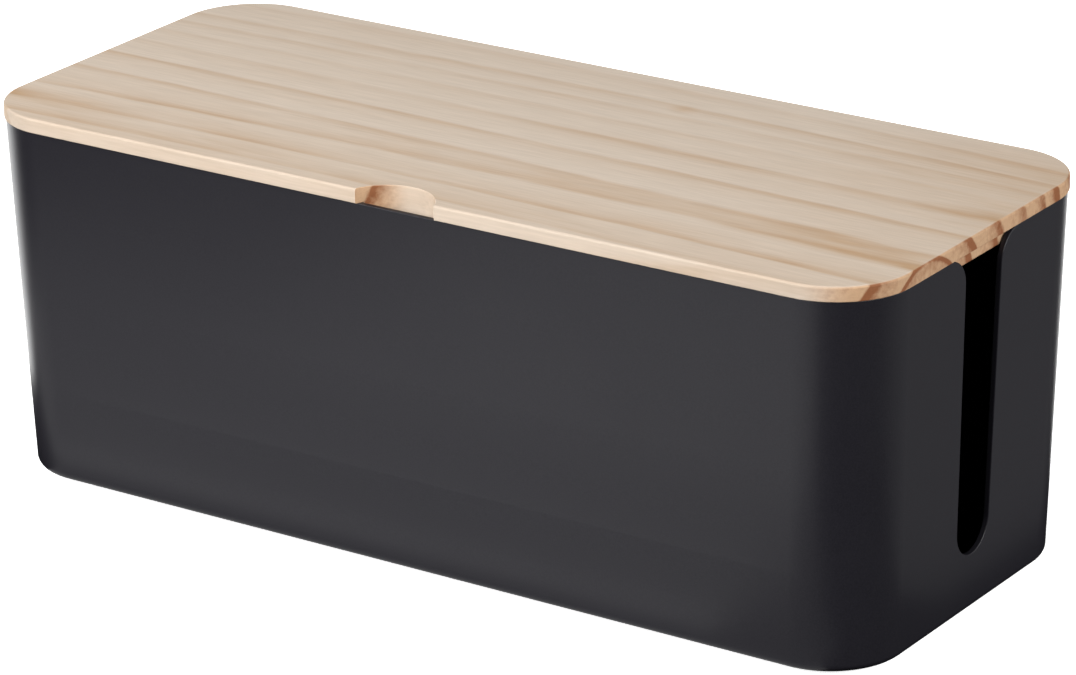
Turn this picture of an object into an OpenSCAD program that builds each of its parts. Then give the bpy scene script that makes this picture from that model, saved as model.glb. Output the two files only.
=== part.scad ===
// Cable management box: a drafted plastic bin with a cable slot in each end wall, closed by a
// rebated pine lid whose plug drops inside the rim, standing on four rubber feet.
// Origin on the table under the middle of the bin, +X along its length, -Y towards the finger
// notch in the lid, +Z up.

/* [Bin] */
// Outside length at the rim
bin_length = 320; // [240:1:420]
// Outside width at the rim
bin_width = 135; // [110:0.5:180]
// Height of the moulding, from its underside to its rim
bin_height = 116; // [80:1:160]
// Outside corner radius in plan, the same from the underside to the rim
corner_radius = 24; // [16:0.5:34]
// Draft of the walls, in degrees
draft_angle = 1.6; // [0.5:0.1:3]
// Thickness of the walls, measured level
wall = 1.8; // [1.6:0.1:3.6]
// Thickness of the floor
floor_thickness = 2.4; // [2:0.1:4]
// Radius of the outside edge round the underside
base_edge_radius = 2.5; // [0.5:0.1:4]
// Radius inside, where the walls meet the floor
floor_fillet_radius = 4; // [1:0.25:7]
// Radius of the rim's outer edge, and width of the lead-in on its inner edge
rim_edge = 0.5; // [0.2:0.05:0.75]

/* [Cable slots] */
// Width of a slot, where its sides would reach the rim
slot_width = 21; // [12:0.2:32]
// Taper of each side of a slot, in degrees
slot_taper = 0.8; // [0:0.1:1.5]
// Lowest point of a slot above the bin's underside
slot_bottom = 18.5; // [12:0.5:40]
// Radius of the shoulders where a slot opens through the rim
slot_shoulder_radius = 9.6; // [4:0.2:14]

/* [Lid] */
// Thickness of the board's edge that shows above the rim
lid_edge = 4.7; // [3:0.1:8]
// How far the board's edge stands out past the rim
lid_overhang = 0.5; // [0:0.1:2]
// Depth of the plug below the rim
plug_depth = 4.9; // [3:0.1:10]
// Gap between the plug's lower edge and the bin's wall
plug_clearance = 0.4; // [0.3:0.05:1]
// Radius of the sanded edges of the board
lid_edge_radius = 0.8; // [0.3:0.05:1.3]

/* [Finger notch] */
// Radius of the notch
notch_radius = 15; // [10:0.1:22]
// How far the notch reaches in from the board's front edge
notch_depth = 10; // [6:0.1:10]

/* [Feet] */
// Diameter of a rubber foot
foot_diameter = 12; // [8:0.5:18]
// Whole height of a foot
foot_height = 2.4; // [2:0.1:5]
// Depth of the seat that a foot is pressed into
foot_seat_depth = 0.9; // [0.4:0.1:1.4]
// Gap round a foot in its seat
foot_clearance = 0.2; // [0.1:0.05:0.4]
// Radius of a foot's lower edge
foot_edge_radius = 0.8; // [0.3:0.1:1.2]
// From the edge of the underside to the middle of a foot
foot_inset = 22; // [16:0.5:30]

/* [Hidden] */
$fn = 96;

// Flats in a small rounded edge, and in the half round of a slot
edge_flats = 4;
slot_flats = 24;
// Segments of a full turn in the bin's corners, which gives each corner a quarter of them
corner_segments = 48;
// How far a cut runs past the face that it opens
cut_past = 1;

// What the feet lift the moulding off the table
ground_gap = foot_height - foot_seat_depth;
rim_level = ground_gap + bin_height;
// Corner axes in plan at the rim, which the bin and the lid share
axis_x = bin_length / 2 - corner_radius;
axis_y = bin_width / 2 - corner_radius;

// How far in from the rim's outline the draft brings a wall, at a height on the moulding
function lean(height) = (bin_height - height) * tan(draft_angle);

// Points along a round stretch of an outline
function arc(centre, radius, from, to, flats) = [
    for (step = [0:flats])
        let (angle = from + (to - from) * step / flats)
            centre + radius * [cos(angle), sin(angle)]
];

// A level disc with its lower or its upper edge rounded
module disc(radius, thickness, lower_edge = 0, upper_edge = 0) {
    rotate_extrude($fn = corner_segments)
        polygon(concat(
            [[0, 0]],
            arc([radius - lower_edge, lower_edge], lower_edge, -90, 0, lower_edge > 0 ? edge_flats : 1),
            arc([radius - upper_edge, thickness - upper_edge], upper_edge, 0, 90,
                upper_edge > 0 ? edge_flats : 1),
            [[0, thickness]]
        ));
}

// Puts a copy of its children on each corner axis, where the axes pass a height on the moulding
module on_corner_axes(height) {
    for (side_x = [-1, 1], side_y = [-1, 1])
        translate([side_x * (axis_x - lean(height)), side_y * (axis_y - lean(height)), height])
            children();
}

// The moulding's outside as a solid block
module outside() {
    hull() {
        on_corner_axes(0)
            disc(corner_radius, base_edge_radius, lower_edge = base_edge_radius);
        on_corner_axes(bin_height)
            translate([0, 0, -rim_edge])
                disc(corner_radius, rim_edge, upper_edge = rim_edge);
    }
}

// The space inside the moulding, which runs out past the rim
module inside() {
    inner_radius = corner_radius - wall;
    hull() {
        on_corner_axes(floor_thickness)
            disc(inner_radius, floor_fillet_radius, lower_edge = floor_fillet_radius);
        on_corner_axes(bin_height)
            disc(inner_radius, cut_past);
    }
    // the lead-in that guides the lid's plug
    hull() {
        on_corner_axes(bin_height - rim_edge)
            disc(inner_radius, rim_edge);
        on_corner_axes(bin_height)
            disc(inner_radius + rim_edge, cut_past);
    }
}

// Outline of a cable slot in the end wall: a half round, tapered sides and rounded shoulders
module slot_outline() {
    slot_height = bin_height - slot_bottom;
    half_round = (slot_width / 2 * cos(slot_taper) - slot_height * sin(slot_taper)) / (1 - sin(slot_taper));
    shoulder_y = slot_width / 2 - slot_shoulder_radius * tan(slot_taper)
        + slot_shoulder_radius / cos(slot_taper);
    shoulder_z = bin_height - slot_shoulder_radius;
    polygon(concat(
        arc([0, slot_bottom + half_round], half_round, 180 + slot_taper, 360 - slot_taper, slot_flats),
        arc([shoulder_y, shoulder_z], slot_shoulder_radius, 180 - slot_taper, 90, slot_flats / 2),
        [[shoulder_y, bin_height + cut_past], [-shoulder_y, bin_height + cut_past]],
        arc([-shoulder_y, shoulder_z], slot_shoulder_radius, 90, slot_taper, slot_flats / 2)
    ));
}

// Puts its children on the table at the middle of the foot on one side along X and along Y
module at_foot(side_x, side_y) {
    translate([
        side_x * (bin_length / 2 - lean(0) - foot_inset),
        side_y * (bin_width / 2 - lean(0) - foot_inset),
        0
    ])
        children();
}

module bin() {
    color("#3b393f")
        difference() {
            translate([0, 0, ground_gap])
                difference() {
                    outside();
                    inside();
                    // one cut opens the slots in both end walls
                    translate([-bin_length / 2 - cut_past, 0, 0])
                        rotate([90, 0, 90])
                            linear_extrude(bin_length + 2 * cut_past)
                                slot_outline();
                }
            for (side_x = [-1, 1], side_y = [-1, 1])
                at_foot(side_x, side_y)
                    cylinder(h = foot_height, d = foot_diameter + 2 * foot_clearance);
        }
}

// Carries a profile, drawn outwards from a corner axis, round the four upright corners
module swept_round() {
    for (half_turn = [0, 180])
        rotate([0, 0, half_turn]) {
            translate([axis_x, axis_y, 0])
                rotate_extrude(angle = 90)
                    children();
            translate([-axis_x, axis_y, 0])
                rotate([0, 0, 90])
                    rotate_extrude(angle = 90)
                        children();
            translate([axis_x, axis_y, 0])
                rotate([90, 0, 0])
                    linear_extrude(2 * axis_y)
                        children();
            translate([-axis_x, axis_y, 0])
                rotate([90, 0, 90])
                    linear_extrude(2 * axis_x)
                        children();
        }
}

// Section through the lid's edge: the plug below the rim, and the board's edge above it
module lid_section() {
    plug_reach = corner_radius - wall - lean(bin_height - plug_depth) - plug_clearance;
    board_reach = corner_radius + lid_overhang;
    upper = lid_edge_radius;
    lower = lid_edge_radius / 2;
    polygon(concat(
        [[0, -plug_depth]],
        arc([plug_reach - upper, upper - plug_depth], upper, -90, 0, edge_flats),
        [[plug_reach, 0]],
        arc([board_reach - lower, lower], lower, -90, 0, edge_flats),
        arc([board_reach - upper, lid_edge - upper], upper, 0, 90, edge_flats),
        [[0, lid_edge]]
    ));
}

// The half-round finger notch through the board, with sanded edges
module finger_notch() {
    eased = lid_edge_radius / 2;
    flare = eased + cut_past;
    translate([0, notch_depth - notch_radius - bin_width / 2 - lid_overhang, 0]) {
        translate([0, 0, -plug_depth - cut_past])
            cylinder(h = plug_depth + lid_edge + 2 * cut_past, r = notch_radius);
        translate([0, 0, lid_edge - eased])
            cylinder(h = flare, r1 = notch_radius, r2 = notch_radius + flare);
        translate([0, 0, -plug_depth - cut_past])
            cylinder(h = flare, r1 = notch_radius + flare, r2 = notch_radius);
    }
}

module lid() {
    color("#dcc7a8")
        translate([0, 0, rim_level])
            difference() {
                union() {
                    swept_round()
                        lid_section();
                    translate([-axis_x, -axis_y, -plug_depth])
                        cube([2 * axis_x, 2 * axis_y, plug_depth + lid_edge]);
                }
                finger_notch();
            }
}

module foot(side_x, side_y) {
    color("#202022")
        at_foot(side_x, side_y)
            rotate_extrude()
                polygon(concat(
                    [[0, 0]],
                    arc([foot_diameter / 2 - foot_edge_radius, foot_edge_radius], foot_edge_radius,
                        -90, 0, edge_flats),
                    [[foot_diameter / 2, foot_height], [0, foot_height]]
                ));
}

bin();
lid();
foot(-1, -1);  // foot_front_left
foot(1, -1);  // foot_front_right
foot(-1, 1);  // foot_rear_left
foot(1, 1);  // foot_rear_right
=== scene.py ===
"""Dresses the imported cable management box: a moulded bin on four rubber feet, under a pine lid."""
import math

import bmesh
import bpy
from mathutils import Matrix, Vector


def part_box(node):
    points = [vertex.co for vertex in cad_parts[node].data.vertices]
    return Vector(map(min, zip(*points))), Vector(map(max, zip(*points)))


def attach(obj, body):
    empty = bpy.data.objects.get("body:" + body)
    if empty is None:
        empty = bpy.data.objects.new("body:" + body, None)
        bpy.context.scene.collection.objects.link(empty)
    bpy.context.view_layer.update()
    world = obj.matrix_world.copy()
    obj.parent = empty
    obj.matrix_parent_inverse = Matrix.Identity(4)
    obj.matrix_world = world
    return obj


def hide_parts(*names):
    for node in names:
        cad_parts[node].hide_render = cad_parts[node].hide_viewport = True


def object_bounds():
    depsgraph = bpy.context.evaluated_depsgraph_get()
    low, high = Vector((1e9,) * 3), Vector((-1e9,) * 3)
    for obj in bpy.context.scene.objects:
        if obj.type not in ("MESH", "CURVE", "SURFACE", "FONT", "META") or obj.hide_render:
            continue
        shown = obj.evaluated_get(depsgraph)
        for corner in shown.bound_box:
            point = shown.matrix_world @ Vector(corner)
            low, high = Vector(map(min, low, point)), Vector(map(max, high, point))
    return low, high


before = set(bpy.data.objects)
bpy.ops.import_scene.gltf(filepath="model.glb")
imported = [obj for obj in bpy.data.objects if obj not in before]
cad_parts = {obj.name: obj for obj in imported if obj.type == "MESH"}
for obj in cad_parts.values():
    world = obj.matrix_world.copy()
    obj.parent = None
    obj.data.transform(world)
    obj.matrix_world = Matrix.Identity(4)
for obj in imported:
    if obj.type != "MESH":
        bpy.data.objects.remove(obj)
cad_low, cad_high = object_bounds()
bpy.ops.object.select_all(action="DESELECT")

# ------------------------------------------------------------------------------ camera
# A long lens to the front right of the box and a little above its lid, held a degree off level,
# so that the front, the slotted right end and the whole top show.
camera_azimuth = 34.2465
camera_elevation = 21.0065
camera_roll = -0.8398
camera_distance = 1.56
camera_aim = Vector((0.02104, -0.02495, 0.06837))
lens_mm = 173.44


def outwards(azimuth, elevation):
    """The way out from the box, so many degrees round from its front and so many up."""
    turned, raised = math.radians(azimuth), math.radians(elevation)
    return Vector((
        math.sin(turned) * math.cos(raised),
        -math.cos(turned) * math.cos(raised),
        math.sin(raised),
    ))


back = outwards(camera_azimuth, camera_elevation)
level_right = outwards(camera_azimuth + 90, 0)
level_axes = Matrix((level_right, back.cross(level_right), back)).transposed()
roll = Matrix.Rotation(math.radians(camera_roll), 3, "Z")

bpy.ops.object.camera_add(location=camera_aim + camera_distance * back)
camera = bpy.context.object
camera.name = "long_lens"
camera.rotation_euler = (level_axes @ roll).to_euler()
camera.data.lens = lens_mm
bpy.context.scene.camera = camera
bpy.context.scene.view_settings.view_transform = "Standard"

# ------------------------------------------------------------------------------ studio
# White seamless paper, lit from below so that it stays pale to its far edge, with softboxes in
# front, overhead and round to the right, and reflecting cards laid on the paper. The paper itself
# throws no light back, so the box's corners stay dark between the lights.
MM = 0.001
paper_size = 60
paper_drop = 0.05 * MM
cockle_size = 3.33 * MM
card_height = 0.5 * MM
# Each softbox's side as a share of its distance
softbox_spread = 0.4


def linear(sample):
    """The linear colour of an sRGB hex value."""
    channels = [int(sample[place:place + 2], 16) / 255 for place in (1, 3, 5)]
    return [c / 12.92 if c <= 0.04045 else ((c + 0.055) / 1.055) ** 2.4 for c in channels] + [1]


def add_node(tree, kind, inputs=None, stops=None, **settings):
    """Adds a node with its settings, its inputs (values, or outputs to link) and its colour stops."""
    node = tree.nodes.new(kind)
    for name, value in settings.items():
        setattr(node, name, value)
    for name, value in (inputs or {}).items():
        if isinstance(value, bpy.types.NodeSocket):
            tree.links.new(value, node.inputs[name])
        else:
            node.inputs[name].default_value = value
    for place, (position, colour) in enumerate(stops or []):
        ramp = node.color_ramp.elements
        # a new ramp already has two stops
        stop = ramp[place] if place < 2 else ramp.new(position)
        stop.position = position
        stop.color = colour
    return node


def new_material(name):
    """An empty material with its tree, and the output to finish it with."""
    material = bpy.data.materials.new(name)
    material.use_nodes = True
    material.node_tree.nodes.clear()
    return material, material.node_tree, add_node(material.node_tree, "ShaderNodeOutputMaterial")


def add_area_light(name, location, rotation, sides, watts):
    """A rectangular light that the camera doesn't see."""
    bpy.ops.object.light_add(type="AREA", location=location, rotation=rotation)
    light = bpy.context.object
    light.name = name
    light.visible_camera = False
    light.data.shape = "RECTANGLE"
    light.data.size, light.data.size_y = sides
    light.data.energy = watts


bpy.ops.mesh.primitive_plane_add(size=paper_size, location=(0, 0, -paper_drop))
paper = bpy.context.object
paper.name = "seamless_paper"
paper.visible_diffuse = False
paper.visible_glossy = False
white_paper, tree, output = new_material("white_seamless_paper")
place = add_node(tree, "ShaderNodeTexCoord").outputs["Object"]
cockle = add_node(tree, "ShaderNodeTexNoise", {
    "Vector": place, "Scale": 1 / cockle_size, "Detail": 3,
})
sheet = add_node(tree, "ShaderNodeBsdfPrincipled", {
    "Base Color": linear("#fbfbfb"),
    "Roughness": 0.95,
    "Specular IOR Level": 0.1,
    "Emission Color": linear("#ffffff"),
    "Emission Strength": 0.8,
    "Normal": add_node(tree, "ShaderNodeBump", {
        "Height": cockle.outputs["Fac"], "Strength": 0.03, "Distance": 0.1 * MM,
    }).outputs["Normal"],
})
tree.links.new(sheet.outputs["BSDF"], output.inputs["Surface"])
paper.data.materials.append(white_paper)

box_middle = (cad_low + cad_high) / 2
for name, azimuth, elevation, distance, watts in (
    ("front_softbox", -15, 28, 1.5, 21),
    ("near_right_softbox", 15, 28, 1.5, 2.3),
    ("high_softbox", -45, 50, 1.5, 8.5),
    ("overhead_softbox", -30, 75, 1.5, 2.4),
    ("right_softbox", 80, 26, 3, 74),
    ("low_right_softbox", 120, 8, 1.5, 7),
):
    away = outwards(azimuth, elevation)
    side = softbox_spread * distance
    turn = away.to_track_quat("Z", "Y").to_euler()
    add_area_light(name, box_middle + distance * away, turn, (side, side), watts)

# Where each card's middle lies, its length and width, and the light it sends back up. The narrow
# one runs along the front and lights its rounded lower edge.
for name, x, y, length, width, watts in (
    ("left_card", -0.1, -0.1625, 0.4, 0.175, 0.205),
    ("near_card", 0, -0.135, 0.32, 0.13, 0.045),
    ("far_card", 0, -0.3, 0.32, 0.2, 0.345),
    ("right_card", 0.335, 0.225, 0.33, 0.45, 0.104),
    ("rear_card", -0.08, 0.36, 0.44, 0.5, 2),
    ("left_end_card", -0.42, 0.12, 0.4, 0.34, 1.3),
    ("front_edge_card", 0, -0.0655, 0.29, 0.008, 0.0055),
):
    add_area_light(name, (x, y, card_height), (math.pi, 0, 0), (length, width), watts)

room = bpy.data.worlds.new("pale_room")
bpy.context.scene.world = room
room.use_nodes = True
backdrop = room.node_tree.nodes["Background"]
backdrop.inputs["Color"].default_value = linear("#ffffff")
# The room is there for the camera to see, and lights nothing.
seen = add_node(room.node_tree, "ShaderNodeLightPath").outputs["Is Camera Ray"]
room.node_tree.links.new(seen, backdrop.inputs["Strength"])

# ------------------------------------------------------------------------------ bin
# One injection moulding in charcoal ABS. Its walls have draft so that it leaves the mould, its
# corners keep one radius from base to rim, and a cable slot runs down each end from the rim.
bin_low, bin_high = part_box("bin")
rim = bin_high.z
draft = math.tan(math.radians(1.6))
corner_radius = 24 * MM
wall = 1.8 * MM
floor_thickness = 2.4 * MM
base_edge_radius = 2.5 * MM
floor_fillet_radius = 4 * MM
rim_edge_radius = 0.3 * MM
seat_edge_radius = 0.15 * MM
# Flats in a corner, in a whole cylinder, and in edges of three sizes
corner_flats = 24
cylinder_flats = 64
edge_flats = 6
small_edge_flats = 3
tiny_edge_flats = 2
# How far a cutter runs past the face that it opens
cut_past = 1 * MM
# Points within a hair of a height or a line are on it, and points within weld_reach are one point
hair = 0.01 * MM
weld_reach = 0.002 * MM
# An edge that folds outwards by more than fold_angle is rounded, and one that folds by less than
# smooth_angle is shaded smooth. A face lies level where its normal's Z passes level_normal.
fold_angle = math.radians(50)
smooth_angle = math.radians(40)
level_normal = 0.9


def pick(kind, wanted):
    """Selects in edit mode only the verts, edges or faces that wanted() accepts."""
    bpy.ops.mesh.select_mode(type={"verts": "VERT", "edges": "EDGE", "faces": "FACE"}[kind])
    bpy.ops.mesh.select_all(action="DESELECT")
    mesh = bmesh.from_edit_mesh(bpy.context.edit_object.data)
    mesh.normal_update()
    for part in getattr(mesh, kind):
        if wanted(part):
            part.select_set(True)
    mesh.select_flush_mode()
    bmesh.update_edit_mesh(bpy.context.edit_object.data)


def sharp(edge):
    """Whether the surface folds outwards at an edge."""
    return edge.is_manifold and edge.calc_face_angle_signed(0) > fold_angle


def upright(edge):
    """Whether an edge climbs, as against one that lies level."""
    return abs(edge.verts[0].co.z - edge.verts[1].co.z) > hair


def start_piece(name):
    """Names the new primitive, fixes its size and place in its mesh, and opens it for editing."""
    piece = bpy.context.object
    piece.name = piece.data.name = name
    bpy.ops.object.transform_apply(location=True, rotation=True, scale=True)
    bpy.ops.object.mode_set(mode="EDIT")
    return piece


def select_only(piece):
    """Makes a piece the active object, and the only one selected."""
    bpy.ops.object.select_all(action="DESELECT")
    bpy.context.view_layer.objects.active = piece
    piece.select_set(True)


def finish_modifier(piece, kind, **settings):
    """Gives a piece a modifier and applies it."""
    modifier = piece.modifiers.new(kind.lower(), kind)
    for name, value in settings.items():
        setattr(modifier, name, value)
    select_only(piece)
    bpy.ops.object.modifier_apply(modifier=modifier.name)


def cut(piece, cutter):
    """Cuts the cutter's shape out of a piece and throws the cutter away."""
    finish_modifier(piece, "BOOLEAN", object=cutter, operation="DIFFERENCE", solver="EXACT")
    bpy.data.objects.remove(cutter)


def reopen(piece):
    """Opens a cut piece for editing and welds the double points that the cuts left."""
    select_only(piece)
    bpy.ops.object.mode_set(mode="EDIT")
    bpy.ops.mesh.select_all(action="SELECT")
    bpy.ops.mesh.remove_doubles(threshold=weld_reach)


def smooth(piece):
    """Shades curves smooth while flat faces stay flat."""
    select_only(piece)
    bpy.ops.object.shade_smooth_by_angle(angle=smooth_angle)
    finish_modifier(piece, "WEIGHTED_NORMAL", keep_sharp=True, weight=80)


def drafted_block(name, inset, bottom, top, radius, lower_edge):
    """A block with the bin's draft, so far inside its outline, with rounded corners and base."""
    top_x, top_y = (reach - inset + (top - rim) * draft for reach in (bin_high.x, bin_high.y))
    lean = (top - bottom) * draft
    bpy.ops.mesh.primitive_cube_add(
        size=2, location=(0, 0, (bottom + top) / 2), scale=(top_x, top_y, (top - bottom) / 2)
    )
    block = start_piece(name)
    pick("verts", lambda vert: vert.co.z < (bottom + top) / 2)
    bpy.ops.transform.resize(
        value=(1 - lean / top_x, 1 - lean / top_y, 1), center_override=(0, 0, bottom)
    )
    pick("edges", upright)
    bpy.ops.mesh.bevel(offset=radius, segments=corner_flats)
    pick("edges", lambda edge: max(vert.co.z for vert in edge.verts) < bottom + hair)
    bpy.ops.mesh.bevel(offset=lower_edge, segments=edge_flats)
    bpy.ops.object.mode_set(mode="OBJECT")
    return block


moulded_bin = drafted_block(
    "moulded_bin", 0, bin_low.z, rim, corner_radius, base_edge_radius
)
cut(moulded_bin, drafted_block(
    "cavity", wall, bin_low.z + floor_thickness, rim + cut_past,
    corner_radius - wall, floor_fillet_radius,
))

# The slots: one long cutter with a half-round lower edge and tapered sides opens both ends.
slot_half_width = 10.5 * MM
slot_round = 9.267 * MM
slot_bottom = 18.5 * MM
shoulder_radius = 9.6 * MM
slot_axis = bin_low.z + slot_bottom + slot_round
bpy.ops.mesh.primitive_cylinder_add(
    vertices=cylinder_flats, radius=slot_round, depth=2 * (bin_high.x + cut_past),
    location=(0, 0, slot_axis), rotation=(0, math.pi / 2, 0),
)
slot_cutter = start_piece("slot_cutter")
bpy.ops.mesh.select_all(action="SELECT")
bpy.ops.mesh.bisect(
    plane_co=(0, 0, slot_axis), plane_no=(0, 0, 1), use_fill=True, clear_outer=True
)
pick("faces", lambda face: face.normal.z > level_normal)
bpy.ops.mesh.extrude_region_move(TRANSFORM_OT_translate={"value": (0, 0, rim - slot_axis)})
bpy.ops.transform.resize(value=(1, slot_half_width / slot_round, 1), center_override=(0, 0, rim))
bpy.ops.mesh.extrude_region_move(TRANSFORM_OT_translate={"value": (0, 0, cut_past)})
bpy.ops.object.mode_set(mode="OBJECT")
cut(moulded_bin, slot_cutter)

# The shallow seats that the feet are pressed into.
seat_clearance = 0.2 * MM
foot_names = sorted(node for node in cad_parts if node.startswith("foot_"))
for name in foot_names:
    foot_low, foot_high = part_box(name)
    seat_radius = (foot_high.x - foot_low.x) / 2 + seat_clearance
    bpy.ops.mesh.primitive_cylinder_add(
        vertices=cylinder_flats, radius=seat_radius, depth=2 * foot_high.z,
        location=((foot_low.x + foot_high.x) / 2, (foot_low.y + foot_high.y) / 2, 0),
    )
    cut(moulded_bin, bpy.context.object)

# The slots' shoulders are rounded, then the moulded edges, and more finely those of the seats.
reopen(moulded_bin)
pick("edges", lambda edge: all(
    vert.co.z > rim - hair and abs(abs(vert.co.y) - slot_half_width) < hair
    for vert in edge.verts
))
bpy.ops.mesh.bevel(offset=shoulder_radius, segments=corner_flats // 2)
pick("edges", lambda edge: sharp(edge) and edge.verts[0].co.z > bin_low.z + floor_thickness)
bpy.ops.mesh.bevel(offset=rim_edge_radius, segments=small_edge_flats)
pick("edges", lambda edge: sharp(edge) and edge.verts[0].co.z < bin_low.z + floor_thickness)
bpy.ops.mesh.bevel(offset=seat_edge_radius, segments=tiny_edge_flats)
bpy.ops.object.mode_set(mode="OBJECT")
smooth(moulded_bin)

# Charcoal ABS from a spark-eroded mould: a fine even grain that keeps it matte, and a faint
# unevenness of gloss from the flow of the melt. The real grain is about 0.1 mm, too fine to
# show, so it is drawn at 0.45 mm.
grain_size = 0.45 * MM
flow_size = 45 * MM
# Nearly all of a noise lies between these.
noise_low = 0.3
noise_high = 0.7
charcoal_abs, tree, output = new_material("charcoal_abs")
place = add_node(tree, "ShaderNodeTexCoord").outputs["Object"]
grain = add_node(tree, "ShaderNodeTexNoise", {
    "Vector": place, "Scale": 1 / grain_size, "Detail": 2, "Roughness": 0.6,
})
flow = add_node(tree, "ShaderNodeTexNoise", {
    "Vector": place, "Scale": 1 / flow_size, "Detail": 3, "Roughness": 0.55,
})
gloss = add_node(tree, "ShaderNodeMapRange", {
    "Value": flow.outputs["Fac"], "From Min": noise_low, "From Max": noise_high,
    "To Min": 0.35, "To Max": 0.4,
})
tint = add_node(tree, "ShaderNodeValToRGB", {"Fac": grain.outputs["Fac"]}, stops=[
    (0.35, linear("#1a191e")), (0.65, linear("#201f24")),
])
plastic = add_node(tree, "ShaderNodeBsdfPrincipled", {
    "Base Color": tint.outputs["Color"],
    "Roughness": gloss.outputs["Result"],
    "IOR": 1.53,
    "Specular IOR Level": 0.25,
    "Normal": add_node(tree, "ShaderNodeBump", {
        "Height": grain.outputs["Fac"], "Strength": 0.25, "Distance": 0.03 * MM,
    }).outputs["Normal"],
})
tree.links.new(plastic.outputs["BSDF"], output.inputs["Surface"])
moulded_bin.data.materials.append(charcoal_abs)
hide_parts("bin")
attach(moulded_bin, "bin")

# ------------------------------------------------------------------------------ feet
# Four soft rubber pads with a rounded tread edge, each pressed into its seat under the bin so
# that the box stands clear of the table and doesn't slide.
tread_edge_radius = 0.8 * MM
pad_top_edge_radius = 0.2 * MM

# Black rubber from a plain mould: dull, with fine pores and a faint grey bloom. Real pores are
# too fine to show, so they are drawn at 0.4 mm.
pore_size = 0.4 * MM
black_rubber, tree, output = new_material("black_rubber")
place = add_node(tree, "ShaderNodeTexCoord").outputs["Object"]
pores = add_node(tree, "ShaderNodeTexNoise", {
    "Vector": place, "Scale": 1 / pore_size, "Detail": 3,
})
bloom = add_node(tree, "ShaderNodeValToRGB", {"Fac": pores.outputs["Fac"]}, stops=[
    (noise_low, linear("#161617")), (noise_high, linear("#1e1e1f")),
])
rubber = add_node(tree, "ShaderNodeBsdfPrincipled", {
    "Base Color": bloom.outputs["Color"],
    "Roughness": 0.8,
    "IOR": 1.52,
    "Specular IOR Level": 0.3,
    "Normal": add_node(tree, "ShaderNodeBump", {
        "Height": pores.outputs["Fac"], "Strength": 0.3, "Distance": 0.03 * MM,
    }).outputs["Normal"],
})
tree.links.new(rubber.outputs["BSDF"], output.inputs["Surface"])

# One pad is made under the middle of the bin, and each foot is a copy of it.
foot_low, foot_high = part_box(foot_names[0])
bpy.ops.mesh.primitive_cylinder_add(
    vertices=cylinder_flats, radius=(foot_high.x - foot_low.x) / 2, depth=foot_high.z,
    location=(0, 0, foot_high.z / 2),
)
first_pad = start_piece("first_pad")
pick("edges", lambda edge: max(vert.co.z for vert in edge.verts) < tread_edge_radius)
bpy.ops.mesh.bevel(offset=tread_edge_radius, segments=edge_flats)
pick("edges", lambda edge: min(vert.co.z for vert in edge.verts) > foot_high.z / 2)
bpy.ops.mesh.bevel(offset=pad_top_edge_radius, segments=tiny_edge_flats)
bpy.ops.object.mode_set(mode="OBJECT")
smooth(first_pad)
first_pad.data.materials.append(black_rubber)

for name in foot_names:
    foot_low, foot_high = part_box(name)
    select_only(first_pad)
    bpy.ops.object.duplicate()
    pad = bpy.context.object
    pad.name = pad.data.name = f"rubber_{name}"
    pad.location = ((foot_low.x + foot_high.x) / 2, (foot_low.y + foot_high.y) / 2, 0)
    bpy.ops.object.transform_apply()
    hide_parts(name)
    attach(pad, "bin")
bpy.data.objects.remove(first_pad)

# ------------------------------------------------------------------------------ lid
# One flat-sawn pine board, milled round its underside so that a plug drops inside the rim, with a
# half-round finger notch bored through the front edge and every arris sanded.
board_low, board_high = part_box("lid")
overhang = board_high.x - bin_high.x
plug_depth = rim - board_low.z
plug_clearance = 0.4 * MM
rebate = overhang + wall + plug_depth * draft + plug_clearance
board_edge_radius = 0.8 * MM
under_edge_radius = 0.4 * MM
notch_radius = 15 * MM
notch_depth = 10 * MM
notch_easing = 0.15 * MM
notch_flats = 128
notch_axis = Vector((0, board_low.y + notch_depth - notch_radius, 0))

bpy.ops.mesh.primitive_cube_add(
    size=2, location=(0, 0, (rim + board_high.z) / 2),
    scale=(board_high.x, board_high.y, (board_high.z - rim) / 2),
)
pine_board = start_piece("pine_board")
pick("edges", upright)
bpy.ops.mesh.bevel(offset=corner_radius + overhang, segments=corner_flats)
pick("faces", lambda face: face.normal.z < -level_normal)
bpy.ops.mesh.inset(thickness=rebate)
bpy.ops.mesh.extrude_region_move(TRANSFORM_OT_translate={"value": (0, 0, -plug_depth)})
# The edges are sanded round the top, round the plug and, more lightly, under the overhang.
for height, radius, flats in (
    (board_high.z, board_edge_radius, edge_flats),
    (board_low.z, board_edge_radius, edge_flats),
    (rim, under_edge_radius, small_edge_flats),
):
    pick("edges", lambda edge: sharp(edge) and abs(edge.verts[0].co.z - height) < hair)
    bpy.ops.mesh.bevel(offset=radius, segments=flats)
bpy.ops.object.mode_set(mode="OBJECT")

# The notch: a cutter with flared ends, which eases its edges where they meet the board's faces.
bpy.ops.mesh.primitive_cylinder_add(
    vertices=notch_flats, radius=notch_radius,
    depth=board_high.z - board_low.z - 2 * notch_easing,
    location=notch_axis + Vector((0, 0, (board_high.z + board_low.z) / 2)),
)
notch_cutter = start_piece("notch_cutter")
flare = 1 + (notch_easing + cut_past) / notch_radius
for way in (1, -1):
    pick("faces", lambda face: face.normal.z * way > level_normal)
    bpy.ops.mesh.extrude_region_move(
        TRANSFORM_OT_translate={"value": (0, 0, way * (notch_easing + cut_past))}
    )
    bpy.ops.transform.resize(value=(flare, flare, 1), center_override=notch_axis)
bpy.ops.object.mode_set(mode="OBJECT")
cut(pine_board, notch_cutter)
reopen(pine_board)
bpy.ops.object.mode_set(mode="OBJECT")
smooth(pine_board)

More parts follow.
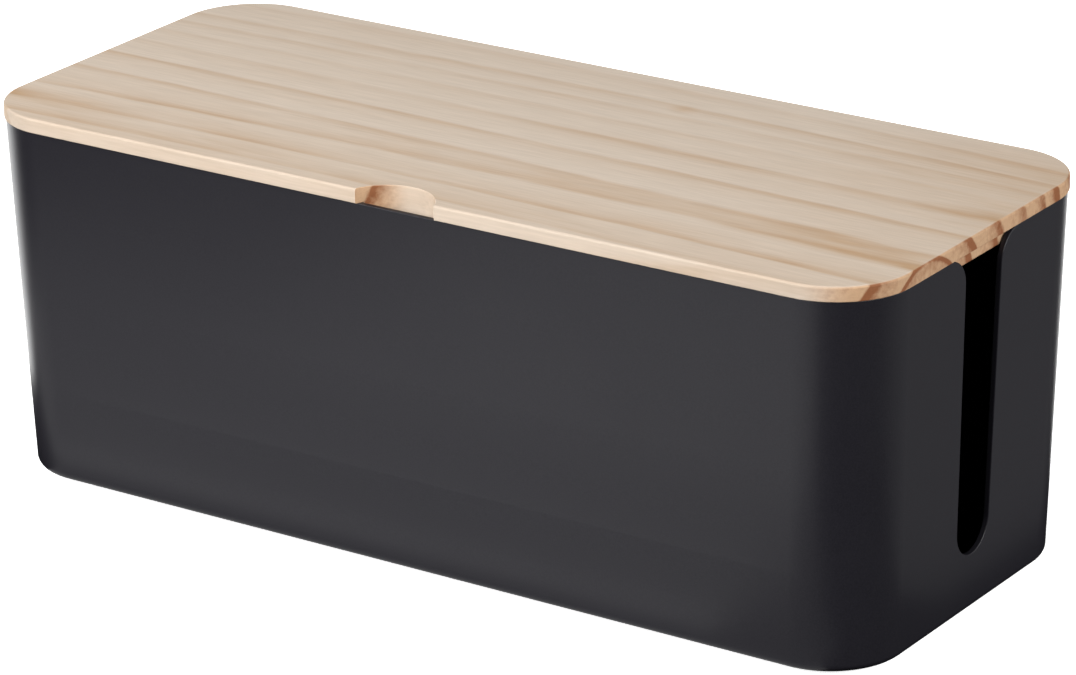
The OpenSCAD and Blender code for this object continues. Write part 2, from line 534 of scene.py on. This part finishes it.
# Sanded pine, cut close to the heart of a fast-grown tree and left bare. Its rings lie round a
# pith just under the board, so they run along the top as soft bands and cross its ends as arcs.
# Each band is sharp where a year's growth ends and fades inwards, from tan into pale early wood.
# End grain soaks up more light and turns a deep orange tan, with its late wood nearly brown.

# Where the pith passes under the middle of the board in mm, and how far it bends forwards and up
# from there, in mm for each square mm along it
pith = Vector((0, -30.1, 100.6))
pith_bow = 0.000128
pith_rise = 0.000066
# The share by which the rings are wider towards the back and narrower towards the front, and its
# change for each mm along the board
growth_lean = 0.124
lean_change = -0.000285
# How far the rings sway in and out in mm, in waves of so many radians per metre along and across
sway_reach = 2
sway_waves = (8.2, 61.6, 0)
sway_start = 0.68
# How far an uneven year moves a ring, and the radius where the figure ends, in mm
drift_reach = 1.6
rings_end = 100
# Each ring's radius, the depth of its late wood and the width of its outer edge in mm, and how
# dark the late wood is on the face
rings = (
    (12, 2, 0.6, 0.45), (20.7, 1.8, 0.6, 0.45), (30.9, 3.4, 1.1, 0.45), (43.2, 4.2, 1.4, 0.3),
    (54, 4, 1.4, 0.2), (62.7, 3.4, 1.4, 0.25), (69.7, 3.6, 1.2, 0.38), (80, 4.5, 1.6, 0.25),
)


def grey(level):
    """The colour of a stop on a ramp that is read as a number."""
    return (level, level, level, 1)


sanded_pine, tree, output = new_material("sanded_pine")
place = add_node(tree, "ShaderNodeTexCoord").outputs["Object"]
in_mm = add_node(tree, "ShaderNodeMapping", {
    "Vector": place, "Scale": (1 / MM, 1 / MM, 1 / MM), "Location": -pith,
}).outputs["Vector"]
heart = add_node(tree, "ShaderNodeSeparateXYZ", {"Vector": in_mm}).outputs
squared = add_node(tree, "ShaderNodeMath", {
    0: heart["X"], 1: heart["X"],
}, operation="MULTIPLY").outputs["Value"]
across = add_node(tree, "ShaderNodeMath", {
    0: squared, 1: pith_bow, 2: heart["Y"],
}, operation="MULTIPLY_ADD").outputs["Value"]
up = add_node(tree, "ShaderNodeMath", {
    0: squared, 1: -pith_rise, 2: heart["Z"],
}, operation="MULTIPLY_ADD").outputs["Value"]
from_heart = add_node(tree, "ShaderNodeVectorMath", {
    0: add_node(tree, "ShaderNodeCombineXYZ", {"Y": across, "Z": up}).outputs["Vector"],
}, operation="LENGTH").outputs["Value"]

# The tree leant, so its rings are wider on one side, and it grew a little unevenly along itself.
lean_here = add_node(tree, "ShaderNodeMath", {
    0: heart["X"], 1: -lean_change, 2: -growth_lean,
}, operation="MULTIPLY_ADD").outputs["Value"]
leant = add_node(tree, "ShaderNodeMath", {
    0: across, 1: lean_here, 2: from_heart,
}, operation="MULTIPLY_ADD").outputs["Value"]
sway = add_node(tree, "ShaderNodeMath", {
    0: add_node(tree, "ShaderNodeVectorMath", {
        0: place, 1: sway_waves,
    }, operation="DOT_PRODUCT").outputs["Value"],
    1: sway_start,
}, operation="ADD").outputs["Value"]
swayed = add_node(tree, "ShaderNodeMath", {
    0: add_node(tree, "ShaderNodeMath", {0: sway}, operation="SINE").outputs["Value"],
    1: sway_reach, 2: leant,
}, operation="MULTIPLY_ADD").outputs["Value"]

# Three kinds of unevenness that all run with the grain: the rings' drift, the patches in which
# their late wood comes and goes, and the fibre. Their lengths and widths are in mm.
uneven = {}
for name, length, width, detail, roughness in (
    ("drift", 45, 14, 3, 0.5),
    ("patches", 55, 9, 3, 0.55),
    ("fibre", 18, 0.9, 4, 0.6),
):
    stretched = add_node(tree, "ShaderNodeMapping", {
        "Vector": in_mm, "Scale": (1 / length, 1 / width, 1 / width),
    }).outputs["Vector"]
    uneven[name] = add_node(tree, "ShaderNodeTexNoise", {
        "Vector": stretched, "Scale": 1, "Detail": detail, "Roughness": roughness,
    }).outputs["Fac"]

drift = add_node(tree, "ShaderNodeMath", {
    0: uneven["drift"], 1: (noise_low + noise_high) / 2,
}, operation="SUBTRACT").outputs["Value"]
ring_place = add_node(tree, "ShaderNodeMath", {
    0: drift, 1: drift_reach, 2: swayed,
}, operation="MULTIPLY_ADD").outputs["Value"]
# A ring's late wood starts faint, is darkest at its outer edge and ends sharply there.
late_stops = [(0, grey(0)), (1, grey(0))]
for radius, depth, edge_width, strength in rings:
    late_stops += [
        ((radius - depth) / rings_end, grey(strength / 4)),
        (radius / rings_end, grey(strength)),
        ((radius + edge_width) / rings_end, grey(0)),
    ]
rings_ramp = add_node(tree, "ShaderNodeValToRGB", {
    "Fac": add_node(tree, "ShaderNodeMath", {
        0: ring_place, 1: rings_end,
    }, operation="DIVIDE").outputs["Value"],
}, stops=late_stops)
rings_ramp.color_ramp.interpolation = "EASE"
rings_drawn = rings_ramp.outputs["Color"]
patchy = add_node(tree, "ShaderNodeMapRange", {
    "Value": uneven["patches"], "From Min": noise_low, "From Max": noise_high,
    "To Min": 0.55, "To Max": 1.45,
}).outputs["Result"]
late_wood = add_node(tree, "ShaderNodeMath", {
    0: rings_drawn, 1: patchy,
}, operation="MULTIPLY", use_clamp=True).outputs["Value"]

# Resin: amber streaks that run with the grain, and in the last row three broad, faint stains.
# Each one's middle, half length and half width are in mm, and its depth of colour comes last.
resin = late_wood
for x, y, half_length, half_width, strength in (
    (160, -38.5, 75, 4.8, 1.1), (135, -31, 34, 10, 0.22), (-165, -49, 68, 8, 0.75),
    (40, 9.5, 60, 8, 0.12), (158, 8, 30, 6, 0.7), (29, 44.5, 6, 4.5, 0.4),
    (-60, -62, 330, 38, 0.25), (165, 45, 90, 50, 0.25), (175, 5, 130, 75, 0.22),
):
    stain = add_node(tree, "ShaderNodeTexGradient", {
        "Vector": add_node(tree, "ShaderNodeMapping", {
            "Vector": place,
            "Scale": (1 / MM / half_length, 1 / MM / half_width, 0),
            "Location": (-x / half_length, -y / half_width, 0),
        }).outputs["Vector"],
    }, gradient_type="SPHERICAL").outputs["Fac"]
    stain = add_node(tree, "ShaderNodeMath", {
        0: stain, 1: patchy,
    }, operation="MULTIPLY").outputs["Value"]
    resin = add_node(tree, "ShaderNodeMath", {
        0: stain, 1: strength, 2: resin,
    }, operation="MULTIPLY_ADD", use_clamp=True).outputs["Value"]
face_wood = add_node(tree, "ShaderNodeMix", {
    "Factor": resin, "A": linear("#c3b5a6"), "B": linear("#ad9072"),
}, data_type="RGBA").outputs["Result"]

# Painted light: the side grain on the notch's wall is painted a quarter paler, to stand in for the
# light that the recess keeps off it.
from_bit = add_node(tree, "ShaderNodeVectorMath", {
    0: add_node(tree, "ShaderNodeVectorMath", {
        0: place, 1: (1, 1, 0),
    }, operation="MULTIPLY").outputs["Vector"],
    1: notch_axis,
}, operation="DISTANCE").outputs["Value"]
notch_painted_light = add_node(tree, "ShaderNodeMapRange", {
    "Value": from_bit,
    "From Min": notch_radius + notch_easing, "From Max": notch_radius + 2 * hair,
    "To Min": 1, "To Max": 1.25,
}).outputs["Result"]
side_wood_with_notch_light = add_node(tree, "ShaderNodeVectorMath", {
    0: face_wood, "Scale": notch_painted_light,
}, operation="SCALE").outputs["Vector"]

# Sawn across, the open ends of the fibres leave it mottled, in spots of about 1.6 mm, and the late
# wood shows about four times as dark as it does on the face.
mottle_mm = 1.6
end_darkening = 3.9
mottle = add_node(tree, "ShaderNodeTexNoise", {
    "Vector": in_mm, "Scale": 1 / mottle_mm, "Detail": 3, "Roughness": 0.6,
}).outputs["Fac"]
torn = add_node(tree, "ShaderNodeMapRange", {
    "Value": mottle, "From Min": noise_low, "From Max": noise_high,
    "To Min": -0.35, "To Max": 0.15,
}).outputs["Result"]
end_wood = add_node(tree, "ShaderNodeMix", {
    "Factor": add_node(tree, "ShaderNodeMath", {
        0: rings_drawn, 1: end_darkening, 2: torn,
    }, operation="MULTIPLY_ADD", use_clamp=True).outputs["Value"],
    "A": linear("#b99777"), "B": linear("#865537"),
}, data_type="RGBA").outputs["Result"]

# End grain colour comes in on faces turned only a little towards +X, and on faces turned towards -X
# only where they turn well across the grain.
facing = add_node(tree, "ShaderNodeSeparateXYZ", {
    "Vector": add_node(tree, "ShaderNodeNewGeometry").outputs["Normal"],
}).outputs
end_grain_towards_plus_x = add_node(tree, "ShaderNodeMapRange", {
    "Value": facing["X"], "From Min": 0.06, "From Max": 0.72,
}, interpolation_type="SMOOTHSTEP").outputs["Result"]
end_grain_towards_minus_x = add_node(tree, "ShaderNodeMapRange", {
    "Value": facing["X"], "From Min": -0.65, "From Max": -0.95,
}, interpolation_type="SMOOTHSTEP").outputs["Result"]
end_grain = add_node(tree, "ShaderNodeMath", {
    0: end_grain_towards_plus_x, 1: end_grain_towards_minus_x,
}, operation="ADD").outputs["Value"]
wood = add_node(tree, "ShaderNodeMix", {
    "Factor": end_grain, "A": side_wood_with_notch_light, "B": end_wood,
}, data_type="RGBA").outputs["Result"]
shade = add_node(tree, "ShaderNodeMapRange", {
    "Value": uneven["fibre"], "From Min": noise_low, "From Max": noise_high,
    "To Min": 0.93, "To Max": 1.06,
}).outputs["Result"]
board_wood = add_node(tree, "ShaderNodeBsdfPrincipled", {
    "Base Color": add_node(tree, "ShaderNodeVectorMath", {
        0: wood, "Scale": shade,
    }, operation="SCALE").outputs["Vector"],
    "Roughness": 0.65,
    "IOR": 1.45,
    "Specular IOR Level": 0.2,
    "Normal": add_node(tree, "ShaderNodeBump", {
        "Height": uneven["fibre"], "Strength": 0.15, "Distance": 0.05 * MM,
    }).outputs["Normal"],
})
tree.links.new(board_wood.outputs["BSDF"], output.inputs["Surface"])
pine_board.data.materials.append(sanded_pine)
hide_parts("lid")
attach(pine_board, "lid")
